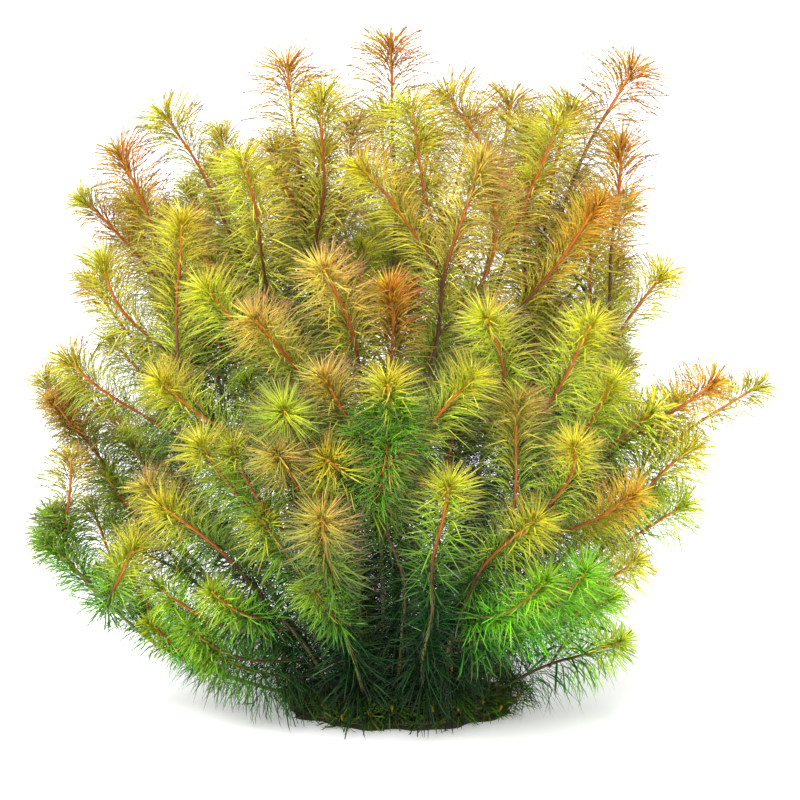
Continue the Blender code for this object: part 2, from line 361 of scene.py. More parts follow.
class RotalaLeafSettings(bpy.types.PropertyGroup):
    """Sizes and colours of the needle leaves."""

    length: length_setting("Leaf length", "Length of a full-grown leaf", 0.0143, 0.002)
    width: length_setting("Leaf width", "Greatest width of a full-grown leaf", 0.00036, 0.0001)
    whorl_leaves: bpy.props.IntProperty(
        name="Leaves in a whorl", description="Leaves that stand round the stem at one height",
        default=10, min=3, max=16)
    bud_colour: colour_setting("Bud colour", "Leaves at the very tip of a shoot", (0.95, 0.92, 0.02))
    young_colour: colour_setting("Young colour", "Leaves just below the tuft", (0.90, 0.95, 0.05))
    ripe_colour: colour_setting(
        "Ripe colour", "Leaves a few centimetres below the tuft", (0.84, 0.86, 0.06))
    old_colour: colour_setting("Old colour", "Leaves half way down a long shoot", (0.46, 0.58, 0.03))
    deep_colour: colour_setting("Deep colour", "The oldest leaves, low in the bush", (0.015, 0.150, 0.008))
    orange_flush: colour_setting(
        "Orange flush", "Colour of the tips of shoots with an orange tuft", (0.94, 0.24, 0.015))
    pink_flush: colour_setting(
        "Pink flush", "Colour of the tips of shoots with a pink tuft", (0.90, 0.39, 0.14))
    # Partly the leaves' own flush and partly painted shade: besides lime tufts and dull leaves, this colour
    # goes on high leaves on the side of a shoot that faces up and to the right.
    bronze_flush_and_shade: colour_setting(
        "Bronze flush", "Colour of leaf tips on the light side of yellow shoots", (0.66, 0.25, 0.045))
    fresh_green: colour_setting(
        "Fresh green", "Colour of shoots that grow in the shade", (0.31, 0.63, 0.012))
    vivid_green: colour_setting(
        "Vivid green", "Colour of the few shoots that the light shines through", (0.15, 0.60, 0.01))
    # Partly the leaves' own dusky ends and partly painted shade, darkest at the bush's outline.
    dusky_tip: colour_setting("Dusky tip", "The very ends of the leaves", (0.055, 0.035, 0.045))
    dry_colour: colour_setting("Dry colour", "The few leaves that have faded", (0.66, 0.52, 0.30))


class RotalaStemSettings(bpy.types.PropertyGroup):
    """Sizes and colours of the stems and of the root crown."""

    root_radius: length_setting(
        "Radius at the root", "Radius of a main stem at the ground", 0.00066, 0.0002)
    tip_radius: length_setting(
        "Radius at the tip", "Radius of a stem at its growing tip", 0.00046, 0.0001)
    tip_colour: colour_setting("Tip colour", "Stems inside the tuft", (0.80, 0.36, 0.03))
    red_colour: colour_setting("Red colour", "Stems just below the tuft", (0.52, 0.115, 0.012))
    brown_colour: colour_setting("Brown colour", "Stems half way down", (0.095, 0.028, 0.012))
    low_colour: colour_setting("Low colour", "Stems near the ground", (0.13, 0.12, 0.035))
    crown_colour: colour_setting("Crown colour", "The matted root crown", (0.035, 0.038, 0.016))
    root_colour: colour_setting("Root colour", "The fine pale roots on the crown", (0.17, 0.14, 0.075))


class RotalaStageSettings(bpy.types.PropertyGroup):
    """Floor and light."""

    floor_colour: colour_setting("Floor colour", "The plain pale floor", (0.86, 0.86, 0.86))
    floor_glow: strength_setting(
        "Floor glow", "Light that the floor adds, which softens the shadow", 0.30)
    sky_strength: strength_setting(
        "Sky strength", "Brightness of the even light from all round", 1.30)
    sun_strength: strength_setting(
        "Key strength", "Brightness of the soft light from above the front", 5.2)


def smooth(value, low, high):
    """Nought below low, one above high, and an even S between them."""
    share = np.clip((value - low) / (high - low), 0.0, 1.0)
    return share * share * (3.0 - 2.0 * share)


def fading(value, low, high):
    """One below low, nought above high, and an even S between them."""
    return 1.0 - smooth(value, low, high)


def mixed(first, second, share):
    """Colours part of the way from the first to the second, a share for each row."""
    return first + (np.asarray(second) - first) * share[:, None]


def ramp_at(ages, ramp_ages, ramp):
    """Colours at the given ages, by straight interpolation between the colours of a ramp."""
    ramp = np.array(ramp)
    return np.stack([np.interp(ages, ramp_ages, ramp[:, part]) for part in range(3)], axis=1)


def unit(vectors):
    """The same directions at length one."""
    return vectors / np.linalg.norm(vectors, axis=-1, keepdims=True)


def square_directions(along):
    """Two directions square to each given one: its cross product with a fixed one, and that one's."""
    level = unit(np.cross(along, OFF_DIRECTION))
    return level, np.cross(along, level)


def crown_height_at(x, y):
    """Height of the crown over a point: its height times the root of one less share to the fourth."""
    share = np.clip(np.hypot(x / CROWN_HALF_WIDTH, y / CROWN_HALF_DEPTH), 0.0, 1.0)
    return CROWN_HEIGHT * np.sqrt(1.0 - share ** 4)


def main_curve(tip, beside, below, aside):
    """Root, control point and tip of a main stem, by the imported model's own rule.

    The root lies under the tip's side of the crown, nearer the edge the more the tip leans out.
    The control point is on the way to the tip, moved sideways and square to the line, downwards.
    """
    reach = math.hypot(tip[0], tip[1])
    lean = math.atan2(reach, tip[2]) / (math.pi / 2)
    share = lean ** ROOT_POWER / reach
    root = np.array([tip[0] * share * ROOT_HALF_WIDTH + aside, tip[1] * share * ROOT_HALF_DEPTH, 0.0])
    root[2] = crown_height_at(root[0], root[1]) + ROOT_LIFT
    return bent_curve(root, np.array(tip, float), beside, below)


def bent_curve(root, tip, beside, below):
    """A curve from root to tip whose control point is moved beside and below its place on the line."""
    outwards = tip - root
    sideways = unit(np.array([-outwards[1], outwards[0], 0.0]))
    down = unit(np.cross(sideways, outwards))
    return root, root + outwards * ELBOW_SHARE + sideways * beside + down * below, tip


def curve_places(curve, shares):
    """Points of the curve: root, control point and tip weighted by squares of the share."""
    root, elbow, tip = curve
    shares = np.asarray(shares)[:, None]
    rest = 1.0 - shares
    return root * rest ** 2 + elbow * 2.0 * rest * shares + tip * shares ** 2


def curve_slopes(curve, shares):
    """Direction of the curve at each share, at length one."""
    root, elbow, tip = curve
    shares = np.asarray(shares)[:, None]
    return unit((elbow - root) * (1.0 - shares) + (tip - elbow) * shares)


def camera_frame():
    """The camera's place, and its directions right, up and forwards."""
    lift = math.radians(CAMERA_ELEVATION)
    forwards = np.array([0.0, math.cos(lift), -math.sin(lift)])
    upwards = np.array([0.0, math.sin(lift), math.cos(lift)])
    place = np.array([0.0, 0.0, CAMERA_HEIGHT]) - forwards * CAMERA_DISTANCE
    return place, np.array([1.0, 0.0, 0.0]), upwards, forwards


def seen_at(across, down, depth):
    """The point on the ray through a pixel of the view whose y is the depth."""
    place, right, upwards, forwards = camera_frame()
    step = VIEW_WIDTH / VIEW_PIXELS
    middle = VIEW_PIXELS / 2
    ray = forwards * CAMERA_DISTANCE + right * (across - middle) * step + upwards * (middle - down) * step
    return place + ray * (depth - place[1]) / ray[1]


def seen_direction(turn, lean):
    """A direction turned clockwise from straight up in the view, and leaning towards the camera."""
    _, right, upwards, forwards = camera_frame()
    turn, lean = math.radians(turn), math.radians(lean)
    flat = right * math.sin(turn) + upwards * math.cos(turn)
    return flat * math.cos(lean) - forwards * math.sin(lean)


def side_curve(parents, tip, direction, usual):
    """Which parent a side shoot forks off, and its curve, which ends in the given direction.

    Of the points along the parents, the one is taken that costs least: its distance from the
    line back from the tip, and shares of the length's error and of one less the cosine between
    the shoot's start and the parent's own direction.
    """
    shares = np.linspace(*FORK_SHARES, FORK_POINTS)
    starts = np.concatenate([curve_places(parent, shares) for parent in parents])
    slopes = np.concatenate([curve_slopes(parent, shares) for parent in parents])
    back = tip - starts
    lengths = np.linalg.norm(back, axis=1)
    along = back @ direction
    beside = np.linalg.norm(back - along[:, None] * direction, axis=1)
    elbows = tip - direction * END_SHARE * lengths[:, None]
    straight = (unit(elbows - starts) * slopes).sum(axis=1)
    cost = beside + LENGTH_COST * np.abs(lengths - usual) + ANGLE_COST * (1.0 - straight)
    best = np.argmin(cost + TOO_NEAR_COST * (along < LEAST_WAY))
    return best // len(shares), (starts[best], elbows[best], tip)


def inside_share(places):
    """How far out places lie in the bush: nought in the middle and one on its outline."""
    sizes = (places - np.array([0.0, 0.0, BUSH_MIDDLE])) / np.array(BUSH_HALF)
    return np.linalg.norm(sizes, axis=-1)


def inner_curves(parent, number):
    """Short shoots that leave a main stem at the usual angle and end well inside the bush."""
    rng = np.random.default_rng(SEED + INNER_SEED + number)
    angle = math.radians(INNER_ANGLE)
    curves = []
    for share in rng.uniform(*INNER_STARTS, INNER_SHOOTS):
        start = curve_places(parent, [share])[0]
        slope = curve_slopes(parent, [share])[0]
        level = unit(np.cross(slope, rng.normal(0.0, 1.0, 3)))
        way = slope * math.cos(angle) + level * math.sin(angle)
        length = rng.uniform(*INNER_LENGTHS)
        while length > INNER_LEAST and inside_share(start + way * length) > INNER_LIMIT:
            length -= INNER_CUT
        tip = start + way * length
        if inside_share(tip) <= INNER_LIMIT and tip[1] > INNER_FRONT:
            curves.append((start, start + way * length * 0.5 - slope * length * 0.06, tip))
    return curves


def shoot_line(curve, rng):
    """A shoot's centre line: places, directions and ages, from the root to the tip.

    The curve wanders by two sine waves of random phase, which die out at both ends.
    """
    shares = np.linspace(0.0, 1.0, LINE_POINTS)
    places = curve_places(curve, shares)
    length = np.linalg.norm(np.diff(places, axis=0), axis=1).sum()
    directions = square_directions(curve_slopes(curve, shares))
    phases = rng.uniform(0.0, 2.0 * math.pi, 2)
    ends = np.sin(math.pi * shares) * min(1.0, length / WANDER_FULL) * WANDER
    for direction, wave, phase in zip(directions, WANDER_WAVES, phases):
        places = places + direction * (ends * np.sin(shares * length / wave + phase))[:, None]
    steps = np.linalg.norm(np.diff(places, axis=0), axis=1)
    ages = np.concatenate([np.cumsum(steps[::-1])[::-1], [0.0]])
    return places, unit(np.gradient(places, axis=0)), ages


def at_ages(line, ages):
    """Places and directions on a line at the given ages, by straight interpolation."""
    places, slopes, line_ages = line
    order = line_ages[::-1]
    there = np.stack([np.interp(ages, order, places[::-1, axis]) for axis in range(3)], axis=1)
    ways = np.stack([np.interp(ages, order, slopes[::-1, axis]) for axis in range(3)], axis=1)
    return there, unit(ways)


def bush_shoots():
    """The lines of every plant, its main stem first, each with its tint, kind and random numbers."""
    mains = [main_curve(*plant[:4]) for plant in PLANTS]
    curves = [[(main, plant[4], "main")] for main, plant in zip(mains, PLANTS)]
    for across, down, depth, turn, lean, length, tint in FRONT_SHOOTS:
        parent, curve = side_curve(mains, seen_at(across, down, depth), seen_direction(turn, lean), length)
        curves[parent].append((curve, tint, "side"))
    for number, tips in BACK_SHOOTS.items():
        for x, y, z, tint in tips:
            end = np.array([x, y, z], float)
            curve = side_curve(mains[number - 1:number], end, unit(end * (1.0, 1.0, 1.1)), BACK_LENGTH)[1]
            curves[number - 1].append((curve, tint, "side"))
    shoots = []
    for number, own in enumerate(curves, 1):
        own += [(curve, "lime", "inner") for curve in inner_curves(mains[number - 1], number)]
        lines = []
        for index, (curve, tint, kind) in enumerate(own):
            rng = np.random.default_rng(SEED + PLANT_SEED * number + index)
            lines.append((shoot_line(curve, rng), tint, kind, rng))
        shoots.append(lines)
    return shoots


def crown_shoots():
    """Short leafy shoots that sprout all round the crown and lean outwards.

    Every second one is taller and may stand nearer the middle. The others hug the crown's edge.
    """
    shoots = []
    for index in range(CROWN_SHOOTS):
        rng = np.random.default_rng(SEED + CROWN_SEED + index)
        turn = 2.0 * math.pi * (index + rng.uniform(-0.3, 0.3)) / CROWN_SHOOTS
        ring = rng.uniform(0.30, 0.90) if index % 2 else rng.uniform(0.76, 0.92)
        x = CROWN_HALF_WIDTH * ring * math.cos(turn)
        y = CROWN_HALF_DEPTH * ring * math.sin(turn)
        root = np.array([x, y, crown_height_at(x, y) - 0.5])
        reach = rng.uniform(3.0, 7.0)
        rise = rng.uniform(14.0, 52.0) if index % 2 else rng.uniform(1.0, 5.0)
        way = np.array([math.cos(turn + rng.uniform(-0.5, 0.5)) * reach,
                        math.sin(turn + rng.uniform(-0.5, 0.5)) * reach, rise])
        curve = bent_curve(root, root + way, 0.0, 3.0)
        shoots.append((shoot_line(curve, rng), "green", "crown", rng))
    return shoots


def whorl_ages(length):
    """Ages of the whorls down a shoot: the running count of whorls grows by one over the gap."""
    fine = np.linspace(0.15, length, 4000)
    gaps = np.interp(fine, AGES, WHORL_GAP)
    counts = np.concatenate([[0.0], np.cumsum(np.diff(fine) / gaps[1:])])
    return np.interp(np.arange(int(counts[-1])), counts, fine)


def leaf_roots(shoot, around):
    """Age, place, the shoot's direction and the outward direction of each leaf of one shoot.

    A whorl's leaves stand evenly round the stem, turned half a gap from the whorl before, and
    each has its own small errors. Some of the old ones are lost, and of those in front of the
    stem about half are left out, so that it shows. The crown's shoots keep those.
    """
    line, _, kind, rng = shoot
    length = line[2][0]
    whorls = whorl_ages(length - BARE_LENGTH[kind])[::WHORL_STEP[kind]]
    count = len(whorls) * around
    ages = np.clip(np.repeat(whorls, around) + rng.uniform(-0.35, 0.35, count), 0.05, length)
    turns = np.tile(np.arange(around), len(whorls)) / around
    turns = turns + np.repeat(np.arange(len(whorls)), around) * 0.5 / around
    turns = 2.0 * math.pi * turns + rng.normal(0.0, 0.16, count)
    kept = rng.uniform(0.0, 1.0, count) < np.interp(ages, AGES, LEAF_KEPT)
    ages, turns = ages[kept], turns[kept]
    places, forward = at_ages(line, ages)
    level, other = square_directions(forward)
    outward = level * np.cos(turns)[:, None] + other * np.sin(turns)[:, None]
    lost = rng.uniform(0.0, 1.0, len(ages)) < FRONT_LOST
    lost = lost & (-outward[:, 1] > FRONT_FACING) & (ages > FRONT_AGE) & (kind != "crown")
    return ages[~lost], places[~lost], forward[~lost], outward[~lost]


def leaf_rows(shoot, settings):
    """Everything about each leaf of one shoot, as arrays with one row a leaf.

    Length, width, angle and bend go by age, and each leaf has its own small errors. Leaves are
    longer low in the middle and at the top of the bush, and shorter low at its sides, on the
    crown and on short shoots. Inner leaves are wider, because only every third whorl is there.
    """
    line, tint, kind, rng = shoot
    length = line[2][0]
    ages, places, forward, outward = leaf_roots(shoot, settings.whorl_leaves)
    count = len(ages)
    heights = places[:, 2]
    reach = np.hypot(places[:, 0], places[:, 1])
    low = fading(heights, 12.0, 65.0) * fading(reach, 45.0, 85.0)
    outer = fading(heights, 20.0, 75.0) * smooth(reach, 36.0, 80.0)
    high = smooth(heights, 170.0, 200.0)
    sizes = np.interp(ages, AGES, LENGTH_SHARE) * settings.length / MM
    sizes = sizes * rng.normal(1.0, 0.09, count) * (1.0 + 0.20 * low) * (0.8 if kind == "crown" else 1.0)
    sizes = sizes * (1.0 + 0.24 * high) * (1.0 - 0.36 * outer)
    sizes = sizes * (0.78 + 0.22 * float(smooth(length, 26.0, 46.0)))
    angles = np.interp(ages, AGES, LEAF_ANGLE) * rng.uniform(0.86, 1.18) + 8.0 * high
    angles = np.radians(angles + rng.normal(0.0, 9.0, count))
    bends = rng.normal(0.0, 0.34, count) + np.interp(ages, AGES, LEAF_BEND) + 0.60 * low
    droops = smooth(ages, 12.0, 90.0) * rng.uniform(0.0, 0.14, count) + rng.uniform(0.0, 0.25, count) * low
    widths = np.interp(ages, AGES, WIDTH_SHARE) * settings.width / MM
    widths = widths * rng.uniform(0.85, 1.15, count) * (1.0 + 0.08 * low)
    widths = widths * (2.5 - 0.3 * fading(heights, 40.0, 90.0) if kind == "inner" else 1.0)
    return {
        "places": places, "forward": forward, "outward": outward, "ages": ages,
        "sizes": sizes, "angles": np.clip(angles, 0.02, 2.6), "bends": bends, "droops": droops,
        "widths": widths, "swerves": rng.normal(0.0, 0.17, count), "rolls": rng.normal(0.0, 0.5, count),
        "lengthwise": ages / length, "tint": tint, "kind": kind, "rng": rng,
    }


def near_ground(heights):
    """One at the ground, and nought above the lowest shoots."""
    return fading(heights, 10.0, 75.0)


def ripened(rows, settings):
    """Colour of each leaf by its age, with one small error for the whole shoot.

    Low leaves count as older, and so do those of inner shoots and of the crown. On inner shoots, which
    lie deep inside the bush, the added age and its darker colour are partly painted shade, and more
    so the lower they grow.
    """
    heights = rows["places"][:, 2]
    low = fading(heights, 15.0, 130.0)
    # Painted shade in part: inner shoots count as older, and older still the lower they grow, which darkens
    # them.
    ages = rows["ages"] * (1.0 + 2.4 * low) + 4.0 * low + ADDED_AGE_AND_SHADE[rows["kind"]]
    ages = ages + (60.0 * fading(heights, 30.0, 110.0) if rows["kind"] == "inner" else 0.0)
    tone = ramp_at(ages, LEAF_COLOUR_AGES, [settings.bud_colour, settings.young_colour,
                                            settings.ripe_colour, settings.old_colour,
                                            settings.deep_colour])
    return tone * (1.0 + rows["rng"].normal(0.0, 0.07, 3) * np.array([1.0, 0.6, 1.0]))


def tinted(rows, tone, settings):
    """Colours of each leaf at its root and further out, after its tuft's tint.

    The tint's flush dies out by a bell curve down the shoot, and further out on the leaf it is
    strongest on the side that faces up and to the right, partly as painted shade. High leaves turn
    bronze there, more so at the right of the bush, which is also partly their own flush and partly
    painted shade. A few are dry and some are dull.
    """
    rng = rows["rng"]
    ages = rows["ages"]
    heights = rows["places"][:, 2]
    count = len(ages)
    # Painted shade in part: how far a leaf faces up and to the right, the side where its flush and the
    # bronze colour are laid on more strongly.
    flush_and_shade_side = 0.5 + 0.5 * rows["outward"] @ np.array(FLUSH_AND_SHADE_SIDE)
    flush_and_shade_side = smooth(flush_and_shade_side + rng.normal(0.0, 0.10, count), 0.35, 0.85)
    at_root, at_tip, begin, reach, flush_name = TINTS[rows["tint"]]
    flush = getattr(settings, flush_name)
    youth = np.exp(-(np.maximum(ages - begin, 0.0) / reach) ** 2)
    youth = youth * (smooth(ages, 0.4 * begin, begin) if begin else 1.0)
    side = 1.0 if rows["tint"] in GREENS else 0.35 + 0.65 * flush_and_shade_side
    root = mixed(tone, flush, at_root * youth)
    outer = mixed(tone, flush, at_tip * youth * side)
    # Painted shade in part: high young leaves on that side turn bronze, more at the right of the bush.
    right_flush_and_shade = 0.70 + 0.40 * smooth(rows["places"][:, 0], -60.0, 40.0)
    bronze = 0.95 * right_flush_and_shade * flush_and_shade_side * np.exp(-(ages / 80.0) ** 2) * smooth(heights, 90.0, 160.0)
    bronze = bronze * (0.4 if rows["tint"] in GREENS else 1.0)
    root = mixed(root, settings.bronze_flush_and_shade, 0.45 * bronze * smooth(ages, 3.0, 15.0))
    outer = mixed(outer, settings.bronze_flush_and_shade, bronze)
    dry = (rng.uniform(0.0, 1.0, count) < 0.015) & (ages > 8.0)
    outer[dry] = settings.dry_colour
    root[dry] = settings.dry_colour
    dull = rng.uniform(0.0, 1.0, count) < 0.14 * (1.0 - near_ground(heights))
    outer[dull] = mixed(outer[dull], settings.bronze_flush_and_shade, np.full(dull.sum(), 0.6)) * 0.6
    return root, outer


def place_factors(rows):
    """Factors of red, green and blue for each leaf by where it grows.

    Low leaves lose red and blue. Painted shade: those in the middle and at the left lose some of all
    three, least in the tufts, at the far left and with a pure green tint. Painted light: the low
    right gains some, and so does a band under the top, and the very top loses some.
    """
    x, _, heights = rows["places"].T
    green = fading(heights, 50.0, 160.0) * (1.0 - np.exp(-(rows["ages"] / 12.0) ** 2))
    factors = 1.0 - (0.7 * green + 0.3 * near_ground(heights))[:, None] * np.array(LOW_LOSS)
    # Painted shade: leaves in the middle and at the left, below the top, are made darker, more so lower
    # down.
    painted_shade = fading(heights, 105.0, 160.0) * fading(x, 20.0, 60.0)
    painted_shade = painted_shade * (1.0 - 0.50 * np.exp(-(rows["ages"] / 13.0) ** 2))
    painted_shade = painted_shade * (0.55 + 0.45 * smooth(x, -80.0, -45.0))
    painted_shade = painted_shade * (1.0 + 0.35 * fading(heights, 60.0, 100.0))
    painted_shade = painted_shade * (0.25 if rows["tint"] in PURE_GREENS else 1.0)
    factors = factors * (1.0 - painted_shade[:, None] * np.array(PAINTED_SHADE_LOSS))
    # Painted light: leaves low at the right and in a band under the top are made lighter, and those at the
    # very top darker.
    bright = smooth(x, 30.0, 65.0) * fading(heights, 80.0, 120.0)
    bright = bright + 0.30 * smooth(heights, 130.0, 170.0) - 0.55 * smooth(heights, 165.0, 190.0)
    return factors * (1.0 + bright[:, None] * np.array(PAINTED_LIGHT_GAIN))


def light_left(places):
    """Share of the light that reaches a leaf: less deep inside the bush and low in its middle."""
    x, y, heights = places.T
    depth = fading(inside_share(places), 0.32, 0.85)
    left = 1.0 - depth * 0.86 * fading(heights, 30.0, 150.0)
    middle = fading(np.hypot(x, y), 40.0, 90.0) * (1.0 - 0.75 * smooth(x, 32.0, 55.0))
    return left * (1.0 - 0.76 * middle * fading(heights, 10.0, 70.0))


def leaf_colours(rows, settings):
    """Colour of each leaf at its root, at both rings and at its tip.

    The tinted colours are multiplied by the factors of the place, which hold painted shade and
    painted light, and by the light that is left there, and by each leaf's own lightness and warmth.
    The tip is mixed with the dusky colour, and so is the outer ring, most near the bush's outline
    and least near the ground. The dusky ends are partly the leaves' own and partly painted shade,
    which is why they are darkest at the outline.
    """
    rng = rows["rng"]
    count = len(rows["ages"])
    ground = near_ground(rows["places"][:, 2])
    root, outer = tinted(rows, ripened(rows, settings), settings)
    factors = place_factors(rows)
    light = rng.normal(1.0, 0.28 + 0.34 * ground, count)[:, None]
    warm = 1.0 + rng.normal(0.0, 0.11, count)[:, None] * np.array([1.0, -0.4, 0.0])
    change = np.clip(light * warm, 0.35, 2.6) * light_left(rows["places"])[:, None]
    root = np.clip(root * factors * change * 1.08, 0.0, 0.95)
    outer = np.clip(outer * factors * change, 0.0, 0.95)
    inner = mixed(root, outer, np.full(count, 0.30))
    aged = (0.72 + 0.28 * smooth(rows["ages"], 1.0, 9.0)) * (1.0 - 0.75 * ground)
    dusk = mixed(outer, settings.dusky_tip, (0.72 + 0.24 * aged) * (1.0 - 0.6 * ground))
    # Painted shade in part: the dusky ends grow darker towards the bush's outline.
    rim = smooth(inside_share(rows["places"]), 0.72, 0.95)
    inner = mixed(inner, dusk, 0.22 * rim * aged)
    darkened = (0.56 + 0.40 * rim) * aged * (0.5 if rows["kind"] == "inner" else 1.0)
    return root, inner, mixed(outer, dusk, darkened), dusk


def leaf_mesh_parts(rows, band):
    """All leaves of one shoot: the hidden, straight or far ones with one ring, the others with two."""
    places = rows["places"]
    plain = inside_share(places) < INSIDE_RING
    plain = plain | (np.abs(rows["bends"]) + rows["droops"] < STRAIGHT_RING)
    plain = plain | ((places[:, 1] > BACK_RING) & (places[:, 2] < HIGH_RING))
    sets = []
    if not plain.all():
        sets.append(needles(rows, ~plain, band, RING_SHARES, RING_BREADTHS))
    if plain.any():
        sets.append(needles(rows, plain, band, SINGLE_RING_SHARES, SINGLE_RING_BREADTHS))
    return joined(sets)


def needle_corners(rings):
    """The triangles of one needle: a cap at its root, bands from ring to ring and a cap at its tip."""
    last = 3 * rings + 1
    corners = [(0, 1, 2), (0, 2, 3), (0, 3, 1)]
    for first in range(1, last - 3, 3):
        for here, beside in ((0, 1), (1, 2), (2, 0)):
            corners.append((first + here, first + here + 3, first + beside + 3))
            corners.append((first + here, first + beside + 3, first + beside))
    return corners + [(last - 3, last, last - 2), (last - 2, last, last - 1), (last - 1, last, last - 3)]


def needles(rows, chosen, band, ring_shares, breadths):
    """Closed needles: points, triangles, colours and map places of the chosen leaves of a shoot.

    A leaf follows an arc that starts at its angle to the stem and bends on evenly. At each ring
    it has two edges, half its width to either side, and a ridge a third of its width below. It
    comes to a point at both ends. It swerves and droops with the square of the way along it.
    """
    root, inner, outer, dusk = [tone[chosen] for tone in rows["colours"]]
    rows = {name: value[chosen] for name, value in rows.items() if isinstance(value, np.ndarray)}
    count = len(rows["ages"])
    rings = len(ring_shares)
    shares = np.array((0.0, *ring_shares, 1.0))
    breadths = np.array((0.0, *breadths, 0.0))
    angles = rows["angles"][:, None]
    bends = rows["bends"][:, None]
    bends = np.where(np.abs(bends) < 0.02, 0.02, bends)
    turned = angles + bends * shares
    ahead = ((np.sin(turned) - np.sin(angles)) / bends)[..., None]
    aside = ((np.cos(angles) - np.cos(turned)) / bends)[..., None]
    sizes = rows["sizes"][:, None, None]
    forward = rows["forward"][:, None, :]
    outward = rows["outward"][:, None, :]
    across = np.cross(rows["forward"], rows["outward"])[:, None, :]
    centres = rows["places"][:, None, :] + sizes * (forward * ahead + outward * aside)
    squares = (shares ** 2)[None, :, None]
    centres = centres + across * squares * (rows["swerves"] * rows["sizes"])[:, None, None]
    centres[..., 2] -= squares[..., 0] * (rows["droops"] * rows["sizes"])[:, None]
    centres[..., 2] = np.maximum(centres[..., 2], LEAF_LIFT + LEAF_TIP_LIFT * shares)
    along = unit(np.gradient(centres, axis=1))
    rolls = rows["rolls"][:, None, None]
    square = unit(np.cross(along, across))
    edge = unit(across * np.cos(rolls) + square * np.sin(rolls))
    under = unit(np.cross(along, edge))
    half = 0.5 * rows["widths"][:, None, None] * breadths[None, :, None]
    around = np.stack([centres + edge * half, centres - edge * half, centres + under * half * 0.7], axis=2)
    around = around[:, 1:-1].reshape(count, 3 * rings, 3)
    points = np.concatenate([centres[:, :1], around, centres[:, -1:]], axis=1)
    points[..., 2] = np.maximum(points[..., 2], LEAF_GROUND_GAP)
    starts = points.shape[1] * np.arange(count)[:, None, None]
    triangles = np.array(needle_corners(rings))[None, :, :] + starts
    station = np.concatenate([[0], np.repeat(np.arange(rings) + 1, 3), [rings + 1]])
    tones = [root, inner, outer, dusk] if rings == 2 else [root, 0.6 * inner + 0.4 * outer, dusk]
    colours = np.stack(tones, axis=1)[:, station]
    low, high = band
    middle = low + (high - low) * (0.01 + 0.98 * rows["lengthwise"])
    spread = np.array([0.0] + [-1.0, 1.0, 0.0] * rings + [0.0]) * MAP_HALF_BREADTH
    across_map = middle[:, None] + spread[None, :]
    along_map = np.broadcast_to(0.02 + 0.96 * shares[station], across_map.shape)
    on_map = np.stack([along_map, across_map], axis=2)
    return points.reshape(-1, 3), triangles.reshape(-1, 3), colours.reshape(-1, 3), on_map.reshape(-1, 2)


def joined(parts):
    """Several sets of points, triangles, colours and map places as one, with the points renumbered."""
    starts = np.cumsum([0] + [len(part[0]) for part in parts[:-1]])
    points, _, colours, on_map = [np.concatenate(arrays) for arrays in zip(*parts)]
    triangles = np.concatenate([part[1] + start for part, start in zip(parts, starts)])
    return points, triangles, colours, on_map


def grid_corners(rows, columns):
    """Point numbers of a grid, and of each cell's corner here, beside, in the next row and across."""
    index = np.arange(rows * columns).reshape(rows, columns)
    corners = index[:-1, :-1], index[:-1, 1:], index[1:, :-1], index[1:, 1:]
    return index, *[numbers.ravel() for numbers in corners]


def tube_parts(places, slopes, radii, colours, band):
    """A closed tube along a line: rings square to it, and a point at both ends.

    A ring's point is the place plus the radius times the cosine of its angle along one direction
    square to the line and the sine along the other. The seam is doubled on the map only.
    """
    level, other = square_directions(slopes)
    turns = 2.0 * math.pi * np.arange(STEM_SIDES + 1) / STEM_SIDES
    around = np.cos(turns)[None, :, None], np.sin(turns)[None, :, None]
    ring = level[:, None, :] * around[0] + other[:, None, :] * around[1]
    grid = places[:, None, :] + ring * radii[:, None, None]
    rows = len(places)
    index, here, beside, ahead, across = grid_corners(rows, STEM_SIDES + 1)
    walls = np.concatenate([np.stack([here, beside, across], 1), np.stack([here, across, ahead], 1)])
    first = np.full(STEM_SIDES, index.size)
    start_cap = np.stack([first, index[0, 1:], index[0, :-1]], 1)
    end_cap = np.stack([first + 1, index[-1, :-1], index[-1, 1:]], 1)
    low, high = band
    along = low + (high - low) * (0.03 + 0.94 * np.linspace(0.0, 1.0, rows))
    grid_map = np.stack(np.broadcast_arrays(turns[None, :] / turns[-1], along[:, None]), axis=2)
    ends_map = np.array([(0.5, low + (high - low) * 0.01), (0.5, low + (high - low) * 0.99)])
    tips = np.stack([places[0] - slopes[0] * radii[0] * 0.3, places[-1] + slopes[-1] * radii[-1]])
    points = np.concatenate([grid.reshape(-1, 3), tips])
    tone = np.concatenate([np.repeat(colours, STEM_SIDES + 1, axis=0), colours[[0, -1]]])
    on_map = np.concatenate([grid_map.reshape(-1, 2), ends_map])
    return points, np.concatenate([walls, start_cap, end_cap]), tone, on_map


def add_piece(name, parts, material, weld=False):
    """A mesh object from points, triangles, colours and map places, with its one material."""
    points, triangles, colours, on_map = parts
    mesh = bpy.data.meshes.new(name)
    mesh.vertices.add(len(points))
    mesh.vertices.foreach_set("co", (points * MM).astype(np.float32).ravel())
    mesh.loops.add(triangles.size)
    mesh.loops.foreach_set("vertex_index", triangles.astype(np.int32).ravel())
    mesh.polygons.add(len(triangles))
    mesh.polygons.foreach_set("loop_start", (3 * np.arange(len(triangles))).astype(np.int32))
    mesh.update(calc_edges=True)
    tone = mesh.attributes.new("Tone", "FLOAT_COLOR", "POINT")
    opaque = np.column_stack([colours, np.ones(len(colours))])
    tone.data.foreach_set("color", opaque.astype(np.float32).ravel())
    layer = mesh.uv_layers.new(name="OFBake")
    layer.data.foreach_set("uv", on_map[triangles.ravel()].astype(np.float32).ravel())
    mesh.validate()
    mesh.shade_smooth()
    mesh.materials.append(material)
    piece = bpy.data.objects.new(name, mesh)
    bpy.context.scene.collection.objects.link(piece)
    if weld:
        close_seams(mesh)
    return piece


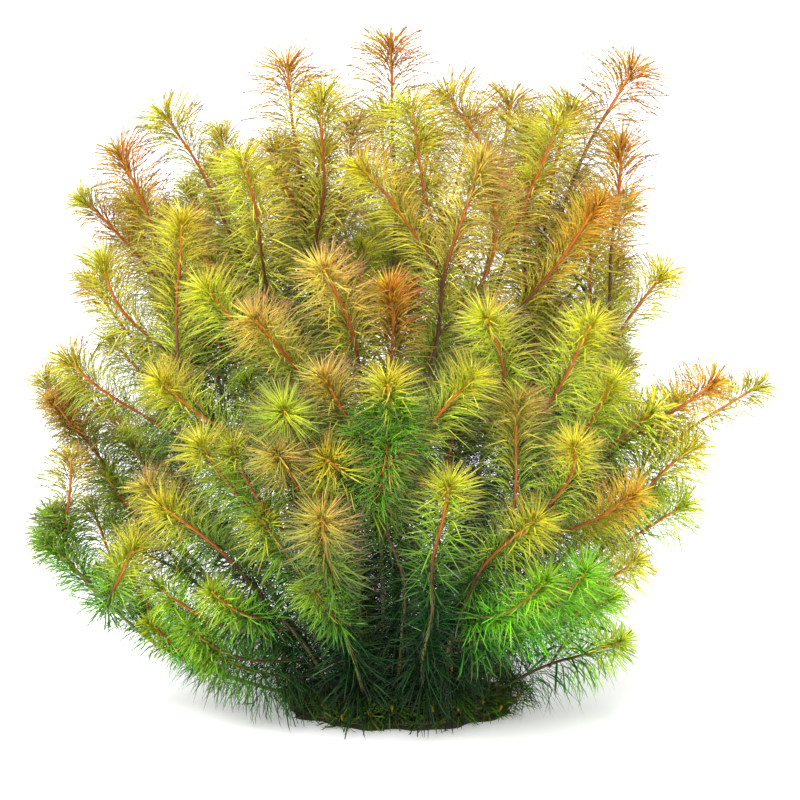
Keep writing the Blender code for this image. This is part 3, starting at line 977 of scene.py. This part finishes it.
def close_seams(mesh):
    """Joins the doubled points along the seams of tubes, which share one place."""
    work = bmesh.new()
    work.from_mesh(mesh)
    bmesh.ops.remove_doubles(work, verts=work.verts, dist=0.0000005)
    work.to_mesh(mesh)
    work.free()
    mesh.shade_smooth()


def maths(tree, operation, first, second, third=None):
    """One Math node fed by sockets or numbers, and its output."""
    node = tree.nodes.new("ShaderNodeMath")
    node.operation = operation
    for socket, value in zip(node.inputs, (first, second, third)):
        if isinstance(value, bpy.types.NodeSocket):
            tree.links.new(value, socket)
        elif value is not None:
            socket.default_value = value
    return node.outputs[0]


def skin_group():
    """The node group that all living surfaces share: mottling, dark ends, gloss and relief.

    It reads a place on the piece's own map, whose first number runs along a leaf or round a stem
    and whose second runs down the plant.
    """
    group = bpy.data.node_groups.get("Grown skin")
    if group:
        return group
    group = bpy.data.node_groups.new("Grown skin", "ShaderNodeTree")
    inputs = [("Colour", "NodeSocketColor", (0.5, 0.5, 0.5, 1.0)), ("Map", "NodeSocketVector", (0, 0, 0)),
              ("Along scale", "NodeSocketFloat", 5.0), ("Across scale", "NodeSocketFloat", 400.0),
              ("Mottle", "NodeSocketFloat", 0.3), ("End darkening", "NodeSocketFloat", 0.4),
              ("Roughness low", "NodeSocketFloat", 0.4), ("Roughness high", "NodeSocketFloat", 0.6)]
    for name, kind, default in inputs:
        socket = group.interface.new_socket(name, in_out="INPUT", socket_type=kind)
        socket.default_value = default
    for name, kind in (("Colour", "NodeSocketColor"), ("Roughness", "NodeSocketFloat"),
                       ("Height", "NodeSocketFloat")):
        group.interface.new_socket(name, in_out="OUTPUT", socket_type=kind)
    nodes, links = group.nodes, group.links
    source = nodes.new("NodeGroupInput")
    result = nodes.new("NodeGroupOutput")
    split = nodes.new("ShaderNodeSeparateXYZ")
    links.new(source.outputs["Map"], split.inputs[0])
    along = maths(group, "MULTIPLY", split.outputs["X"], source.outputs["Along scale"])
    across = maths(group, "MULTIPLY", split.outputs["Y"], source.outputs["Across scale"])
    place = nodes.new("ShaderNodeCombineXYZ")
    links.new(along, place.inputs["X"])
    links.new(across, place.inputs["Y"])
    noise = nodes.new("ShaderNodeTexNoise")
    noise.inputs["Scale"].default_value = 1.0
    noise.inputs["Detail"].default_value = 3.0
    links.new(place.outputs[0], noise.inputs["Vector"])
    centred = maths(group, "SUBTRACT", noise.outputs["Fac"], 0.5)
    swing = maths(group, "MULTIPLY", centred, source.outputs["Mottle"])
    bright = maths(group, "MULTIPLY_ADD", swing, 2.0, 1.0)
    power = maths(group, "POWER", split.outputs["X"], 5.0)
    shade = maths(group, "MULTIPLY", power, source.outputs["End darkening"])
    left = maths(group, "SUBTRACT", 1.0, shade)
    factor = maths(group, "MULTIPLY", bright, left)
    scaled = nodes.new("ShaderNodeVectorMath")
    scaled.operation = "SCALE"
    links.new(source.outputs["Colour"], scaled.inputs[0])
    links.new(factor, scaled.inputs["Scale"])
    links.new(scaled.outputs[0], result.inputs["Colour"])
    gloss = nodes.new("ShaderNodeMapRange")
    links.new(noise.outputs["Fac"], gloss.inputs["Value"])
    gloss.inputs["From Min"].default_value = 0.25
    gloss.inputs["From Max"].default_value = 0.75
    links.new(source.outputs["Roughness low"], gloss.inputs["To Min"])
    links.new(source.outputs["Roughness high"], gloss.inputs["To Max"])
    links.new(gloss.outputs[0], result.inputs["Roughness"])
    links.new(noise.outputs["Fac"], result.inputs["Height"])
    return group


def skin_material(name, values, relief, shine):
    """A surface whose colour is the piece's own Tone, worked over by the shared skin group."""
    material = bpy.data.materials.new(name)
    material.use_nodes = True
    tree = material.node_tree
    shader = tree.nodes["Principled BSDF"]
    tone = tree.nodes.new("ShaderNodeAttribute")
    tone.attribute_name = "Tone"
    place = tree.nodes.new("ShaderNodeUVMap")
    place.uv_map = "OFBake"
    skin = tree.nodes.new("ShaderNodeGroup")
    skin.node_tree = skin_group()
    for socket, value in values.items():
        skin.inputs[socket].default_value = value
    tree.links.new(tone.outputs["Color"], skin.inputs["Colour"])
    tree.links.new(place.outputs["UV"], skin.inputs["Map"])
    tree.links.new(skin.outputs["Colour"], shader.inputs["Base Color"])
    tree.links.new(skin.outputs["Roughness"], shader.inputs["Roughness"])
    shader.inputs["Specular IOR Level"].default_value = shine
    bump = tree.nodes.new("ShaderNodeBump")
    bump.inputs["Strength"].default_value = 0.5
    bump.inputs["Distance"].default_value = relief
    tree.links.new(skin.outputs["Height"], bump.inputs["Height"])
    tree.links.new(bump.outputs["Normal"], shader.inputs["Normal"])
    return material


def leaf_material():
    """Soft matt needles, darker and drier at their very ends."""
    return bpy.data.materials.get("Needle leaf") or skin_material("Needle leaf", {
        "Along scale": 6.0, "Across scale": 420.0, "Mottle": 0.35, "End darkening": 0.15,
        "Roughness low": 0.50, "Roughness high": 0.72}, 0.00005, 0.22)


def stem_material():
    """Smooth juicy stems with faint streaks and a light gloss."""
    return bpy.data.materials.get("Juicy stem") or skin_material("Juicy stem", {
        "Along scale": 9.0, "Across scale": 260.0, "Mottle": 0.45, "End darkening": 0.0,
        "Roughness low": 0.30, "Roughness high": 0.55}, 0.0001, 0.4)


def crown_material():
    """Rough fibrous root mat."""
    return bpy.data.materials.get("Root mat") or skin_material("Root mat", {
        "Along scale": 40.0, "Across scale": 90.0, "Mottle": 0.8, "End darkening": 0.0,
        "Roughness low": 0.70, "Roughness high": 0.95}, 0.0004, 0.2)


def stem_parts(shoot, settings, band):
    """The stem of one shoot as a tube that thickens downwards and swells in even waves.

    Its radius goes by an even S from the tip's to the root's, times one plus a small cosine wave
    of the age. Its colour goes by age, and low parts count as older.
    """
    line, tint, kind, _ = shoot
    length = line[2][0]
    rows = max(8, int(length / STEM_STEP))
    ages = np.linspace(length, 0.0, rows)
    places, slopes = at_ages(line, ages)
    thin = settings.tip_radius / MM
    wide = settings.root_radius / MM * THICKNESS[kind]
    radii = thin + (wide - thin) * smooth(ages, 0.0, 80.0)
    radii = radii * (1.0 + 0.08 * np.cos(2.0 * math.pi * ages / STEM_WAVE))
    aged = ages * (1.0 + 1.2 * fading(places[:, 2], 10.0, 80.0))
    colours = ramp_at(aged, STEM_COLOUR_AGES, [settings.tip_colour, settings.red_colour,
                                               settings.brown_colour, settings.low_colour])
    if tint == "green":
        colours = mixed(colours, (0.22, 0.30, 0.04), np.full(rows, 0.5))
    return tube_parts(places, slopes, radii, colours, band)


def bands(count):
    """Even strips of the map, one for each shoot of a plant."""
    edges = np.linspace(0.01, 0.99, count + 1)
    return list(zip(edges[:-1], edges[1:]))


def make_foliage(name, shoots, settings):
    """All leaves of a plant as one piece."""
    parts = []
    for shoot, band in zip(shoots, bands(len(shoots))):
        rows = leaf_rows(shoot, settings)
        rows["colours"] = leaf_colours(rows, settings)
        parts.append(leaf_mesh_parts(rows, band))
    piece = add_piece(name, joined(parts), leaf_material())
    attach(piece, "root")
    return piece


def make_stalks(name, shoots, settings):
    """All stems of a plant as one piece."""
    parts = [stem_parts(shoot, settings, band) for shoot, band in zip(shoots, bands(len(shoots)))]
    piece = add_piece(name, joined(parts), stem_material(), weld=True)
    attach(piece, "root")
    return piece


def crown_parts(settings):
    """The root mat: a low dome, flat underneath, with creeping runners and fine roots over it.

    The dome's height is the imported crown's own, less a little, plus a product of sine waves of
    both directions that dies out at the rim. Runners and roots wander across it.
    """
    shares = np.sin(np.linspace(0.0, math.pi / 2, MAT_RINGS))[1:, None]
    turns = 2.0 * math.pi * np.arange(MAT_SIDES + 1) / MAT_SIDES
    wave = 1.0 + 0.035 * np.sin(9 * turns) + 0.025 * np.sin(17 * turns + 1.0)
    x = CROWN_HALF_WIDTH * MAT_SHARE * shares * np.cos(turns)[None, :] * wave[None, :]
    y = CROWN_HALF_DEPTH * MAT_SHARE * shares * np.sin(turns)[None, :] * wave[None, :]
    fibre = np.sin(x * 1.7 + 2.0 * np.sin(y * 0.6)) * np.sin(y * 1.9 + 1.5 * np.sin(x * 0.8))
    dome = np.sqrt(1.0 - shares ** 4)
    top = CROWN_HEIGHT - MAT_SINK
    z = np.clip(top * dome + 0.45 * fibre * dome, 0.0, None)
    index, here, beside, ahead, across = grid_corners(len(shares), MAT_SIDES + 1)
    walls = np.concatenate([np.stack([here, ahead, across], 1), np.stack([here, across, beside], 1)])
    pole = np.full(MAT_SIDES, index.size)
    cap = np.stack([pole, index[0, :-1], index[0, 1:]], 1)
    under = np.stack([pole + 1, index[-1, 1:], index[-1, :-1]], 1)
    points = np.concatenate([np.stack([x, y, z], axis=2).reshape(-1, 3), [(0.0, 0.0, top), (0.0, 0.0, 0.0)]])
    on_map = 0.5 + 0.48 * np.stack([x / CROWN_HALF_WIDTH, y / CROWN_HALF_DEPTH], axis=2).reshape(-1, 2)
    on_map = np.concatenate([on_map, [(0.5, 0.5), (0.5, 0.5)]])
    brown = np.array(settings.crown_colour)[None, :] * (0.7 + 0.5 * (fibre.reshape(-1, 1) + 1.0) / 2.0)
    tone = np.concatenate([brown, [settings.crown_colour, settings.crown_colour]])
    parts = [(points, np.concatenate([walls, cap, under]), tone, np.clip(on_map, 0.0, 1.0))]
    parts += [runner_parts(index, settings) for index in range(RUNNERS + FINE_ROOTS)]
    return joined(parts)


def runner_parts(index, settings):
    """One creeping runner or fine root: a wandering line that lies on the crown and the ground."""
    rng = np.random.default_rng(SEED + RUNNER_SEED + index)
    root = index >= RUNNERS
    turn = rng.uniform(0.0, 2.0 * math.pi)
    start = rng.uniform(0.0, 0.75)
    steps = np.linspace(0.0, 1.0, RUNNER_POINTS)
    heading = turn + rng.uniform(-0.9, 0.9)
    length = rng.uniform(14.0, 34.0) if root else rng.uniform(20.0, 42.0)
    wander = np.sin(steps * rng.uniform(3.0, 8.0) + rng.uniform(0.0, 6.0)) * rng.uniform(1.0, 3.0)
    x = CROWN_HALF_WIDTH * start * math.cos(turn)
    x = x + length * steps * math.cos(heading) - wander * math.sin(heading)
    y = CROWN_HALF_DEPTH * start * math.sin(turn)
    y = y + length * steps * math.sin(heading) + wander * math.cos(heading)
    radius = rng.uniform(0.14, 0.26) if root else rng.uniform(0.6, 1.0)
    share = np.hypot(x / CROWN_HALF_WIDTH, y / CROWN_HALF_DEPTH)
    limit = np.where(share > RUNNER_LIMIT, RUNNER_LIMIT / share, 1.0)
    x, y = x * limit, y * limit
    z = crown_height_at(x, y) - 0.6 + radius * 0.6 + 0.3 * np.sin(steps * 11.0 + index)
    places = np.stack([x, y, np.maximum(z, radius * 0.8)], axis=1)
    slopes = unit(np.gradient(places, axis=0) + 0.00001)
    radii = radius * (1.0 - 0.6 * steps)
    colour = np.array(settings.root_colour if root else settings.low_colour) * rng.uniform(0.6, 1.1)
    low = rng.uniform(0.02, 0.9)
    parts = tube_parts(places, slopes, radii, np.tile(colour, (len(steps), 1)), (low, low + 0.08))
    parts[0][:, 2] = np.maximum(parts[0][:, 2], 0.0)
    return parts


def floor_material(settings):
    """A plain matt floor that glows a little."""
    material = bpy.data.materials.new("Pale floor")
    material.use_nodes = True
    values = {"Base Color": (*settings.floor_colour, 1.0), "Roughness": 0.9, "Specular IOR Level": 0.1,
              "Emission Color": (*settings.floor_colour, 1.0), "Emission Strength": settings.floor_glow}
    for name, value in values.items():
        material.node_tree.nodes["Principled BSDF"].inputs[name].default_value = value
    return material


class ROTALA_OT_stage(bpy.types.Operator):
    """Makes the pale floor, the soft light and the camera"""

    bl_idname = "rotala.stage"
    bl_label = "Stage, light and camera"

    def execute(self, context):
        settings = context.scene.rotala_stage
        linked = context.scene.collection.objects
        turns = 2.0 * math.pi * np.arange(FLOOR_CORNERS) / FLOOR_CORNERS
        rim = np.column_stack([np.cos(turns), np.sin(turns), np.zeros(FLOOR_CORNERS)]) * FLOOR_RADIUS * MM
        mesh = bpy.data.meshes.new("floor")
        mesh.from_pydata(rim.tolist(), [], [list(range(FLOOR_CORNERS))])
        mesh.materials.append(floor_material(settings))
        floor = bpy.data.objects.new("floor", mesh)
        linked.link(floor)
        world = bpy.data.worlds.new("Studio")
        context.scene.world = world
        world.use_nodes = True
        sky = world.node_tree.nodes["Background"]
        sky.inputs["Color"].default_value = (1.0, 1.0, 1.0, 1.0)
        sky.inputs["Strength"].default_value = settings.sky_strength
        lamp = bpy.data.lights.new("Key", "SUN")
        lamp.energy = settings.sun_strength
        lamp.angle = math.radians(KEY_SOFTNESS)
        key = bpy.data.objects.new("Key", lamp)
        key.rotation_euler = [math.radians(turn) for turn in KEY_TURN]
        linked.link(key)
        camera_data = bpy.data.cameras.new("Camera")
        camera_data.sensor_width = SENSOR_WIDTH
        camera_data.lens = SENSOR_WIDTH * CAMERA_DISTANCE / VIEW_WIDTH
        camera_data.clip_end = 2.0 * FLOOR_RADIUS * MM
        camera = bpy.data.objects.new("Camera", camera_data)
        camera.location = camera_frame()[0] * MM
        camera.rotation_euler = (math.radians(90 - CAMERA_ELEVATION), 0.0, 0.0)
        linked.link(camera)
        context.scene.camera = camera
        context.scene.view_settings.view_transform = "Standard"
        return {"FINISHED"}


class ROTALA_OT_crown(bpy.types.Operator):
    """Makes the matted root crown and the short shoots that sprout round it"""

    bl_idname = "rotala.crown"
    bl_label = "Root crown and its shoots"

    def execute(self, context):
        mat = add_piece("root_mat", crown_parts(context.scene.rotala_stem), crown_material(), weld=True)
        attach(mat, "root")
        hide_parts("root_crown")
        shoots = crown_shoots()
        make_foliage("crown_foliage", shoots, context.scene.rotala_leaf)
        make_stalks("crown_stalks", shoots, context.scene.rotala_stem)
        return {"FINISHED"}


class ROTALA_OT_stalks(bpy.types.Operator):
    """Makes the main stem and the side stems of every plant"""

    bl_idname = "rotala.stalks"
    bl_label = "Stems and side stems"

    def execute(self, context):
        for number, shoots in enumerate(bush_shoots(), 1):
            piece = make_stalks(f"stalks_{number:02d}", shoots, context.scene.rotala_stem)
            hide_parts(f"stem_{number:02d}")
        return {"FINISHED"}


class ROTALA_OT_foliage(bpy.types.Operator):
    """Makes the needle leaves of every plant"""

    bl_idname = "rotala.foliage"
    bl_label = "Needle leaves"

    def execute(self, context):
        for number, shoots in enumerate(bush_shoots(), 1):
            piece = make_foliage(f"foliage_{number:02d}", shoots, context.scene.rotala_leaf)
            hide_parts(f"leaves_{number:02d}")
        return {"FINISHED"}


class ROTALA_PT_panel(bpy.types.Panel):
    """Lists the steps that build the bush, with the sizes and colours they use"""

    bl_idname = "ROTALA_PT_panel"
    bl_label = "Whorly rotala"
    bl_space_type = "VIEW_3D"
    bl_region_type = "UI"
    bl_category = "Rotala"

    def draw(self, context):
        for operator in OPERATORS:
            self.layout.operator(operator.bl_idname)
        for settings in (context.scene.rotala_leaf, context.scene.rotala_stem, context.scene.rotala_stage):
            box = self.layout.box()
            for name in settings.bl_rna.properties.keys():
                if name not in ("rna_type", "name"):
                    box.prop(settings, name)


OPERATORS = (ROTALA_OT_stage, ROTALA_OT_crown, ROTALA_OT_stalks, ROTALA_OT_foliage)
CLASSES = (RotalaLeafSettings, RotalaStemSettings, RotalaStageSettings) + OPERATORS + (ROTALA_PT_panel,)


def register():
    """Adds the settings, operators and panel to Blender."""
    for item in CLASSES:
        bpy.utils.register_class(item)
    bpy.types.Scene.rotala_leaf = bpy.props.PointerProperty(type=RotalaLeafSettings)
    bpy.types.Scene.rotala_stem = bpy.props.PointerProperty(type=RotalaStemSettings)
    bpy.types.Scene.rotala_stage = bpy.props.PointerProperty(type=RotalaStageSettings)


def unregister():
    """Takes them out again."""
    del bpy.types.Scene.rotala_stage
    del bpy.types.Scene.rotala_stem
    del bpy.types.Scene.rotala_leaf
    for item in reversed(CLASSES):
        bpy.utils.unregister_class(item)


def main():
    """Builds the stage and every piece."""
    register()
    bpy.ops.rotala.stage()
    bpy.ops.rotala.crown()
    bpy.ops.rotala.stalks()
    bpy.ops.rotala.foliage()
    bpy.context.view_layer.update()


if __name__ == "__main__":
    main()
